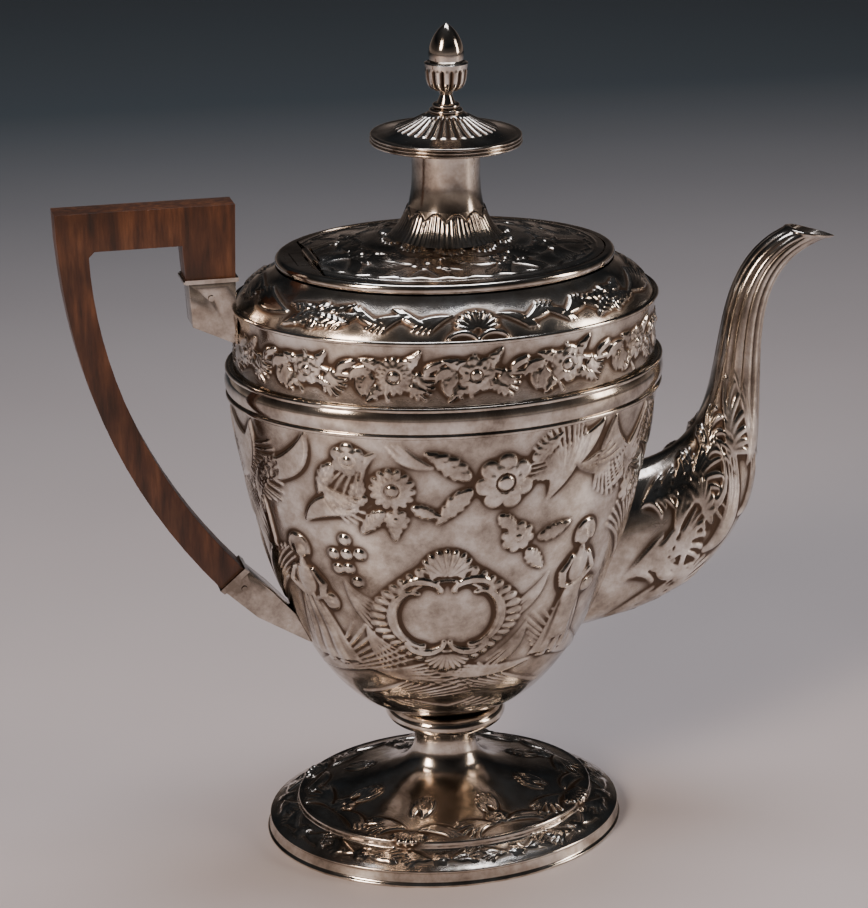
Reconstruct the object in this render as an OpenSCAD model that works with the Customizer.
/* [Foot] */
// Half length of the oval foot at its bottom rim
foot_a = 68.5; // [56:0.5:84]
// Depth to length ratio of the foot
foot_k = 0.8; // [0.65:0.01:1]
// Height of the upright rim band under the foot
foot_rim_h = 6.4; // [4:0.1:9]
// Height of the whole foot and stem, table to collar
foot_h = 44; // [36:0.5:54]
// Radius of the stem at its narrowest
stem_r = 11.8; // [9:0.1:15]
// Half length of the raised step on the foot
foot_step_a = 56.5; // [46:0.5:60]

/* [Collar] */
// Height of the collar ring under the bowl
collar_h = 6; // [4:0.1:8]
// Radius of the collar ring
collar_r = 22.7; // [18:0.1:27]

/* [Body] */
// Depth to length ratio of the oval body
body_k = 0.76; // [0.65:0.01:1]
// Half length of the bowl where it meets the belt
bowl_a = 78.6; // [66:0.5:95]
// Height of the bowl, collar to belt
bowl_h = 126.5; // [105:0.5:152]
// Thickness of the raised silver sheet
wall = 1; // [0.8:0.1:1.6]
// Height of the plain belt
belt_h = 9.5; // [7:0.1:13]
// How far the belt bulges past the bowl
belt_bulge = 1.5; // [1:0.1:3]
// Radius of the wires above and below the belt
belt_wire_r = 0.9; // [0.6:0.1:1.3]
// Height of the chased frieze
frieze_h = 22.5; // [18:0.5:28]
// Height of the sloping shoulder
shoulder_h = 15.6; // [12:0.1:19]
// Radius of the wire on the shoulder edge
shoulder_wire_r = 0.9; // [0.6:0.1:1.3]

/* [Lid] */
// Half length of the lid opening, inside the rim moulding
mouth_a = 57.8; // [48:0.1:66]
// Gap between lid and rim
lid_gap = 0.5; // [0.3:0.1:0.8]
// Distance of the hinge from the near end of the opening
hinge_inset = 8.8; // [7:0.1:12]
// Radius of the lid neck at its waist
neck_r = 12.1; // [10:0.1:15]
// Height of the lid neck above the lid edge
neck_h = 38.5; // [32:0.5:46]
// Radius of the cap
cap_r = 26.8; // [21:0.1:32]
// Height of the cap, edge to crown
cap_h = 10.7; // [8:0.1:13]
// Height of the finial above the cap
finial_h = 31; // [25:0.5:38]
// Radius of the finial cup
finial_r = 7.8; // [6:0.1:9.5]

/* [Hinge] */
// Radius of the hinge knuckles
knuckle_r = 1.5; // [1.3:0.1:1.8]
// Radius of the hinge pin
hinge_pin_r = 0.6; // [0.5:0.05:0.7]
// Width of the whole hinge
hinge_w = 16; // [12:0.5:20]
// Running clearance between the pin and the lid knuckle
hinge_fit = 0.05; // [0.02:0.01:0.1]

/* [Spout] */
// Half width of the spout where it leaves the bowl
spout_root_w = 19; // [15:0.5:23]
// Half width of the spout at the lip
spout_lip_w = 6.4; // [5:0.1:8]
// Radius of the strainer holes behind the spout
strainer_r = 1.3; // [1:0.1:1.6]

/* [Handle] */
// Thickness of the wooden handle
handle_t = 11; // [9:0.1:14]
// Reach of the handle past the shoulder
handle_reach = 60.3; // [50:0.5:72]
// Wall of the silver handle sockets
socket_wall = 1.1; // [0.8:0.1:1.5]
// Radius of the pins that hold the handle
handle_pin_r = 1; // [0.8:0.1:1.3]

/* [Hidden] */
$fn = 72;

collar_z = foot_h;
bowl_z = collar_z + collar_h;
belt_z = bowl_z + bowl_h;
frieze_z = belt_z + belt_h;
shoulder_z = frieze_z + frieze_h;
mouth_z = shoulder_z + shoulder_h;
frieze_a = bowl_a - 1.6;
shoulder_a = bowl_a - 1.1;
rim_w = 3.2;
lid_a = mouth_a - lid_gap;
lid_t = 1.3;
lid_z = mouth_z + 0.2;
lid_rise = 6.6;
crack_x = -(mouth_a - hinge_inset);
crack_gap = 0.8;
hinge_z = lid_z + lid_t + 0.4;
neck_z = lid_z + lid_rise;
cap_z = lid_z + lid_t + neck_h;
crown_z = cap_z + cap_h;
near = 0.02;
// Solder film between the mouth moulding and what is joined inside it
solder = 0.06;

function bowl_at(z) = bowl_a * lookup((z - bowl_z) / bowl_h, bowl_curve);
function bowl_face(y, z) = bowl_at(z) * sqrt(1 - pow(y / (body_k * bowl_at(z)), 2));
function mix(a, b, t) = a + (b - a) * t;
function bezier(a, b, c, d, n) = [for (i = [0:n]) let (t = i / n, s = 1 - t)
    s * s * s * a + 3 * s * s * t * b + 3 * s * t * t * c + t * t * t * d];
function backwards(l) = [for (i = [len(l) - 1:-1:0]) l[i]];
function inset(l, t) = [for (p = l) [p[0] - t, p[1]]];

// Bowl side as [share of height, share of half length]: it seats on the collar, then a full belly
// straightens toward the belt
bowl_seat = 1.5;
bowl_curve = bezier([0, (collar_r - bowl_seat) / bowl_a], [0.05, 0.56], [0.35, 0.86], [1, 1], 14);

module oval(k) { scale([1, k, 1]) rotate_extrude($fn = 180) children(); }
module bead(r) { polygon([for (i = [0:7]) r * [cos(45 * i), sin(45 * i)]]); }
module body_oval() { oval(body_k) children(); }
// Thin oval mouldings, with fewer sides than the shells they run round
module body_moulding() { scale([1, body_k, 1]) rotate_extrude($fn = 72) children(); }
module shell(line, t) { polygon(concat(line, backwards(inset(line, t)))); }

// The rim is drawn slightly long and filed flat where it stands
module foot_rim() {
    filed = 1;
    color("silver") difference() {
        oval(foot_k) polygon([[foot_a - 4, -filed], [foot_a - 0.3, -filed], [foot_a - 0.3, 0],
            [foot_a, 0.8], [foot_a - 0.9, 1.6], [foot_a - 1.6, foot_rim_h - 1.4],
            [foot_a - 1.1, foot_rim_h - 0.9], [foot_a - 1.1, foot_rim_h - 0.3],
            [foot_a - 1.5, foot_rim_h], [foot_a - 4, foot_rim_h]]);
        translate([-foot_a - 1, -foot_a - 1, -2 * filed]) cube([2 * foot_a + 2, 2 * foot_a + 2, 2 * filed]);
    }
}

module foot() {
    dome = foot_h - foot_rim_h;
    line = concat([[foot_a - 1.6, foot_rim_h], [foot_a - 4, foot_rim_h + 1.1],
            [foot_step_a + 2.5, foot_rim_h + 3.3], [foot_step_a + 0.2, foot_rim_h + 4.2],
            [foot_step_a, foot_rim_h + 6.6], [foot_step_a - 0.8, foot_rim_h + 7.2]],
        bezier([foot_step_a - 2.5, foot_rim_h + 7.2], [foot_step_a * 0.5, foot_rim_h + dome * 0.34],
            [stem_r, foot_rim_h + dome * 0.42], [stem_r, foot_rim_h + dome * 0.74], 14),
        [[stem_r + 0.5, foot_rim_h + dome * 0.86], [stem_r + 3, foot_h]]);
    under = [for (p = line) [p[0] - 1.3, p[1] - 1.1]];
    color("silver") oval(foot_k) difference() {
        polygon(concat(line, [[stem_r - 1.2, foot_h]], backwards([for (p = under) p])));
        translate([0, foot_h]) square([stem_r + 10, 10]);
        square([foot_a, foot_rim_h]);
    }
}

module collar() {
    r = collar_h / 2;
    color("silver") rotate_extrude() union() {
        translate([0, collar_z]) square([collar_r - r, collar_h]);
        translate([collar_r - r, collar_z + r]) circle(r);
    }
}

module bowl() {
    line = [for (p = bowl_curve) [bowl_a * p[1], bowl_z + bowl_h * p[0]]];
    inner = [for (p = line) if (p[1] > bowl_z + 2 * wall) [p[0] - wall, p[1]]];
    color("silver") difference() {
        body_oval() polygon(concat([[0, bowl_z]], line, backwards(inner),
            [[0, bowl_z + 2 * wall]]));
        for (row = [0:3], col = [-2:2])
            translate([bowl_a / 2, col * 5 * strainer_r, bowl_z + bowl_h * 0.36 + row * 5 * strainer_r])
                rotate([0, 90, 0]) cylinder(r = strainer_r, h = bowl_a / 2, $fn = 24);
    }
}

module belt_wire(z) {
    color("silver") body_moulding() translate([bowl_a + 0.3, z]) bead(belt_wire_r);
}

module belt() {
    wave = [for (i = [0:8]) [bowl_a + belt_bulge * sin(180 * i / 8), belt_z + belt_h * i / 8]];
    color("silver") body_moulding() polygon(concat(wave, [[frieze_a - wall, frieze_z],
        [bowl_a - wall, belt_z]]));
}

module frieze() {
    line = [for (i = [0:4]) [mix(frieze_a, shoulder_a - 0.6, i / 4) - 1.2 * sin(45 * i),
        frieze_z + frieze_h * i / 4]];
    color("silver") body_oval() shell(line, wall);
}

module shoulder_wire() {
    color("silver") body_moulding() translate([shoulder_a - shoulder_wire_r + 0.1, shoulder_z + 0.4])
        bead(shoulder_wire_r);
}

module shoulder() {
    line = bezier([shoulder_a - 1.2, shoulder_z], [shoulder_a - 6, shoulder_z + shoulder_h * 0.5],
        [mouth_a + 7, shoulder_z + shoulder_h * 0.6], [mouth_a + rim_w, mouth_z - 2], 10);
    color("silver") body_oval() shell(line, wall * 1.4);
}

module mouth_rim() {
    r = rim_w / 2;
    color("silver") body_moulding() union() {
        translate([mouth_a, mouth_z - 2]) square([r, 3.4]);
        translate([mouth_a + r, mouth_z - 0.2]) bead(r);
    }
}

module lid_bearer() {
    color("silver") body_oval() polygon([[mouth_a - 2.8, mouth_z - 1.2],
        [mouth_a - solder, mouth_z - 1.2], [mouth_a - solder, mouth_z - 0.1],
        [mouth_a - 2.8, mouth_z - 0.1]]);
}

module hinge_slot(x, l) {
    translate([x, -hinge_w / 2 - 0.3, lid_z - 3]) cube([l, hinge_w + 0.6, 8]);
}

module hinge_land() {
    color("silver") difference() {
        intersection() {
            body_oval() translate([0, lid_z]) square([mouth_a - solder, lid_t]);
            translate([-mouth_a - 1, -mouth_a, lid_z - 1])
                cube([mouth_a + 1 + crack_x - crack_gap / 2, 2 * mouth_a, 4]);
        }
        hinge_slot(crack_x - knuckle_r - 0.3, 10);
        translate([crack_x - 6.3, -hinge_w / 2 - 0.3, lid_z - 3]) cube([10, hinge_w + 0.6, 8]);
    }
}

module knuckle(y0, y1) {
    translate([crack_x, y1, hinge_z]) rotate([90, 0, 0]) cylinder(r = knuckle_r, h = y1 - y0, $fn = 32);
}

module pin_bore(r) {
    translate([crack_x, hinge_w, hinge_z]) rotate([90, 0, 0]) cylinder(r = r, h = 2 * hinge_w, $fn = 32);
}

module hinge_leaf() {
    mid = hinge_w / 6;
    color("silver") difference() {
        union() {
            for (s = [-1, 1]) mirror([0, s < 0 ? 1 : 0, 0]) {
                knuckle(mid + 0.15, hinge_w / 2);
                translate([crack_x - 6, mid + 0.15, lid_z]) cube([6, hinge_w / 2 - mid - 0.15, lid_t]);
            }
            translate([crack_x - 6, -hinge_w / 2, lid_z])
                cube([6 - knuckle_r - 0.4, hinge_w, lid_t]);
        }
        pin_bore(hinge_pin_r);
    }
}

module hinge_pin() {
    color("silver") translate([crack_x, hinge_w / 2, hinge_z]) rotate([90, 0, 0])
        cylinder(r = hinge_pin_r, h = hinge_w, $fn = 32);
}

// The spout's two sides in the XZ plane, each an S from the bowl to the lip. Points are given as
// [distance past the bowl's half length, height past the belt's lower edge].
spout_sides = 28;
spout_rings = 34;
spout_inner = bezier([-8, -39], [45, -35], [8, 32], [52, 48.5], spout_rings - 1);
spout_reach = 70;
spout_outer = bezier([-28, -101], [98, -85], [2, 32], [spout_reach, 44], spout_rings - 1);
// How far each ring stays clear of the bowl's face, ring by ring
spout_clear = 0.4;
// How much the lip narrows toward its pouring edge
lip_pinch = 0.4;
function spout_width(share) = mix(spout_lip_w, spout_root_w, pow(1 - share, 2));
function spout_point(n, a, t) = let (
        share = n / (spout_rings - 1), middle = (spout_inner[n] + spout_outer[n]) / 2,
        half = (spout_inner[n] - spout_outer[n]) / 2, f = (norm(half) - t) / norm(half),
        y = (spout_width(share) - t) * sin(a) * (1 + lip_pinch * pow(share, 6) * cos(a)),
        x = bowl_a + middle[0] + half[0] * f * cos(a), z = belt_z + middle[1] + half[1] * f * cos(a))
    [n == 0 ? bowl_face(y, z) : max(x, bowl_face(y, z) + n * spout_clear), y, z];

module spout() {
    rings = spout_rings;
    n = spout_sides;
    pts = [for (t = [0, wall], i = [0:rings - 1], j = [0:n - 1]) spout_point(i, 360 * j / n, t)];
    inner = rings * n;
    faces = concat(
        [for (i = [0:rings - 2], j = [0:n - 1]) let (k = (j + 1) % n)
            [i * n + j, i * n + k, (i + 1) * n + k, (i + 1) * n + j]],
        [for (i = [0:rings - 2], j = [0:n - 1]) let (k = (j + 1) % n)
            [inner + i * n + j, inner + (i + 1) * n + j, inner + (i + 1) * n + k, inner + i * n + k]],
        [for (j = [0:n - 1]) let (k = (j + 1) % n) [j, inner + j, inner + k, k]],
        [for (j = [0:n - 1]) let (k = (j + 1) % n, e = (rings - 1) * n)
            [e + j, e + k, inner + e + k, inner + e + j]]);
    color("silver") polyhedron(pts, faces);
}

// Handle outline in the XZ plane, from the shoulder edge
hx = -shoulder_a;
leg_w = 18.6;
leg_x = hx + 1.4;
bar_z = shoulder_z + 26.2;
bar_top = shoulder_z + 39.7;
socket_top = shoulder_z + 14;
grip_end = [hx - 7.6, belt_z - 70.2];
grip_in = [hx + 0.6, belt_z - 63.2];

module flat_y(t) { rotate([90, 0, 0]) linear_extrude(t, center = true) children(); }

module upper_tenon() {
    translate([leg_x - leg_w + 4, -handle_t / 2 + 2.2, socket_top - 14])
        cube([leg_w - 8, handle_t - 4.4, 14 + near]);
}

function toward(a, b, d) = a + (b - a) * d / norm(b - a);
socket_dir = [0.72, -0.69];
function lower_box(g, l, t) = let (e0 = toward(grip_end, grip_in, t), e1 = toward(grip_in, grip_end, t))
    [e0, e1, e1 + socket_dir * l, e0 + socket_dir * l];

module handle() {
    outer = bezier([hx - handle_reach, bar_top], [hx - handle_reach + 0.8, belt_z + 18.5],
        [hx - handle_reach + 17, belt_z - 28.5], grip_end, 16);
    inner = bezier(grip_in, [hx - 33, belt_z - 25.5], [hx - handle_reach + 11.8, belt_z + 18.5],
        [hx - handle_reach + 11, bar_z - 2], 16);
    color("saddlebrown") difference() {
        union() {
            flat_y(handle_t) polygon(concat(outer, inner, [[hx - handle_reach + 13, bar_z],
                [leg_x - leg_w, bar_z], [leg_x - leg_w + 0.8, socket_top], [leg_x - 0.6, socket_top],
                [leg_x, bar_top]]));
            upper_tenon();
            flat_y(handle_t - 4.4) polygon(lower_box(0, 12, 2.4));
        }
        upper_pin_hole();
        lower_pin_hole();
    }
}

upper_pin_at = [leg_x - leg_w / 2, socket_top - 7];
lower_pin_at = (grip_end + grip_in) / 2 + socket_dir * 6;
module pin_at(p, l) {
    translate([p[0], l / 2, p[1]]) rotate([90, 0, 0]) cylinder(r = handle_pin_r, h = l, $fn = 32);
}
module upper_pin_hole() { pin_at(upper_pin_at, handle_t + 4); }
module lower_pin_hole() { pin_at(lower_pin_at, handle_t + 4); }

module upper_socket() {
    t = handle_t / 2 + 0.4;
    color("silver") difference() {
        flat_y(2 * t) polygon([[leg_x - leg_w + 1.6, socket_top - 1.6], [leg_x - leg_w + 2.6,
            socket_top - 17], [-shoulder_a + 1, shoulder_z - 10.5], [-shoulder_a + 1, shoulder_z - 1],
            [leg_x - 0.6, shoulder_z + 0.6], [leg_x - 0.6, socket_top - 1.6]]);
        upper_tenon();
        upper_pin_hole();
    }
}

module upper_ferrule() {
    t = handle_t / 2 + 1;
    color("silver") difference() {
        union() for (z = [0.5, 1.3]) translate([leg_x - leg_w - 0.2 + (z > 1 ? 0 : 0.5), -t,
            socket_top - z]) cube([leg_w + 0.6 - (z > 1 ? 0 : 0.5), 2 * t, z > 1 ? 0.8 : 0.5]);
        upper_tenon();
    }
    color("silver") difference() {
        translate([leg_x - leg_w + 0.6, -t + 0.3, socket_top - 1.6]) cube([leg_w - 0.6, 2 * t - 0.6, 0.3]);
        upper_tenon();
    }
}

module upper_pin() { color("silver") pin_at(upper_pin_at, handle_t + 1.8); }
module lower_pin() { color("silver") pin_at(lower_pin_at, handle_t + 1.8); }

// The lower socket tapers from the band to a pointed seat on the bowl
module lower_socket() {
    top = belt_z - 83;
    low = belt_z - 95;
    b = lower_box(0, 2.2, 0);
    color("silver") difference() {
        flat_y(handle_t + 1) polygon([b[3], b[2], b[2] + socket_dir * 12, [-bowl_face(0, top) + 0.3, top],
            [-bowl_face(0, low) + 0.3, low], b[3] + socket_dir * 16]);
        flat_y(handle_t - 4.4) polygon(lower_box(0, 12, 2.4));
        lower_pin_hole();
    }
}

module lower_ferrule() {
    color("silver") difference() {
        flat_y(handle_t + 2.4) polygon(lower_box(0, 2.2, -0.7));
        flat_y(handle_t - 4.4) polygon(lower_box(0, 12, 2.4));
    }
}

module lid_half() {
    translate([crack_x + crack_gap / 2, -mouth_a, lid_z - 10]) cube([2 * mouth_a, 2 * mouth_a, 60]);
}

module lid_plate() {
    rise = bezier([lid_a, lid_z + lid_t], [lid_a * 0.7, lid_z + lid_t + lid_rise * 0.3],
        [lid_a * 0.5, neck_z], [neck_r + 7.5, neck_z], 10);
    color("silver") difference() {
        intersection() {
            body_oval() polygon(concat([[neck_r - 2, neck_z - wall], [lid_a * 0.5, neck_z - wall - 1.4],
                [lid_a - 4, lid_z], [lid_a, lid_z]], rise, [[neck_r - 2, neck_z]]));
            lid_half();
        }
        hinge_slot(crack_x - 10, 10 + knuckle_r + 0.4);
    }
}

module lid_bezel() {
    color("silver") intersection() {
        body_oval() translate([mouth_a - 4.4, mouth_z - 4.6]) square([1, 5]);
        translate([crack_x + 4, -mouth_a, 0]) cube([2 * mouth_a, 2 * mouth_a, 2 * neck_z]);
    }
}

module lid_knuckle() {
    mid = hinge_w / 6 - 0.15;
    color("silver") difference() {
        union() {
            knuckle(-mid, mid);
            translate([crack_x, -mid, lid_z + lid_t]) cube([5.5, 2 * mid, 0.9]);
        }
        pin_bore(hinge_pin_r + hinge_fit);
    }
}

module lid_neck() {
    line = bezier([neck_r + 7.5, neck_z], [neck_r + 1.5, neck_z + 6], [neck_r - 0.6, neck_z + 14],
        [neck_r, cap_z - 5], 12);
    color("silver") rotate_extrude() shell(concat(line, [[neck_r + 1.2, cap_z]]), wall);
}

module cap() {
    crown = bezier([cap_r - 1.4, cap_z + 3.4], [cap_r - 7, cap_z + 4], [11, cap_z + 7.4],
        [6.5, crown_z], 8);
    color("silver") rotate_extrude() difference() {
        polygon(concat([[2.1, cap_z], [cap_r - 1.4, cap_z]], crown, [[2.1, crown_z]]));
        translate([2.1, cap_z + 1]) square([neck_r - 3, cap_h - 4]);
    }
}

module cap_edge() {
    color("silver") rotate_extrude() difference() {
        union() for (i = [0:2]) translate([cap_r - 0.9 - 0.1 * i, cap_z + 0.7 + i * 1.15])
            circle(0.9, $fn = 24);
        translate([0, cap_z - 1]) square([cap_r - 1.4, cap_h]);
    }
}

module finial_ring(r, z, h) {
    translate([0, 0, z]) rotate_extrude() union() {
        square([r - h / 2, h]);
        translate([r - h / 2, h / 2]) circle(h / 2, $fn = 24);
    }
}

module finial_bore(z0, z1) { translate([0, 0, z0]) cylinder(r = 1, h = z1 - z0, $fn = 32); }

function f_z(share) = crown_z + finial_h * share;

module finial_base() {
    color("silver") difference() {
        union() {
            finial_ring(finial_r * 0.76, f_z(0), finial_h * 0.05);
            finial_ring(finial_r * 0.62, f_z(0.05), finial_h * 0.06);
            translate([0, 0, f_z(0.11)]) cylinder(r1 = finial_r * 0.42, r2 = finial_r * 0.27, h = finial_h * 0.09);
            translate([0, 0, f_z(0.2)]) cylinder(r1 = finial_r * 0.27, r2 = finial_r * 0.36, h = finial_h * 0.05);
        }
        finial_bore(f_z(-0.1), f_z(0.5));
    }
}

module finial_cup() {
    line = bezier([finial_r * 0.36, f_z(0.25)], [finial_r * 0.95, f_z(0.27)], [finial_r * 0.9, f_z(0.42)],
        [finial_r, f_z(0.54)], 10);
    color("silver") difference() {
        rotate_extrude() polygon(concat([[0, f_z(0.25)]], line, [[finial_r * 0.85, f_z(0.575)],
            [finial_r * 0.7, f_z(0.56)], [0, f_z(0.52)]]));
        finial_bore(f_z(0), f_z(0.6));
    }
}

module finial_acorn() {
    line = bezier([finial_r * 0.7, f_z(0.56)], [finial_r * 0.98, f_z(0.7)], [finial_r * 0.55, f_z(0.93)],
        [0, f_z(1)], 14);
    color("silver") difference() {
        rotate_extrude() polygon(concat([[0, f_z(0.52)]], line));
        finial_bore(f_z(0.4), f_z(0.7));
    }
}

module finial_stud() {
    color("silver") translate([0, 0, cap_z - 3.6]) cylinder(r = 1, h = f_z(0.7) - cap_z + 3.6, $fn = 32);
}

module finial_nut() {
    color("silver") difference() {
        translate([0, 0, cap_z - 2.4]) cylinder(r = neck_r - 2, h = 2.4, $fn = 32);
        translate([0, 0, cap_z - 4]) cylinder(r = 1, h = 6, $fn = 32);
    }
}

// The body's own axis stands off the origin, so that the origin is halfway between handle and lip
middle_x = (shoulder_a + handle_reach - bowl_a - spout_reach) / 2;
module placed() { translate([middle_x, 0, 0]) children(); }

placed() foot_rim();
placed() foot();
placed() collar();
placed() bowl();
placed() belt_wire(belt_z);  // belt_lower_wire
placed() belt();
placed() belt_wire(frieze_z);  // belt_upper_wire
placed() frieze();
placed() shoulder_wire();
placed() shoulder();
placed() mouth_rim();
placed() lid_bearer();
placed() hinge_land();
placed() hinge_leaf();
placed() hinge_pin();
placed() spout();
placed() upper_socket();
placed() upper_ferrule();
placed() upper_pin();
placed() handle();
placed() lower_ferrule();
placed() lower_socket();
placed() lower_pin();
placed() lid_plate();
placed() lid_bezel();
placed() lid_knuckle();
placed() lid_neck();
placed() cap();
placed() cap_edge();
placed() finial_base();
placed() finial_cup();
placed() finial_acorn();
placed() finial_stud();
placed() finial_nut();
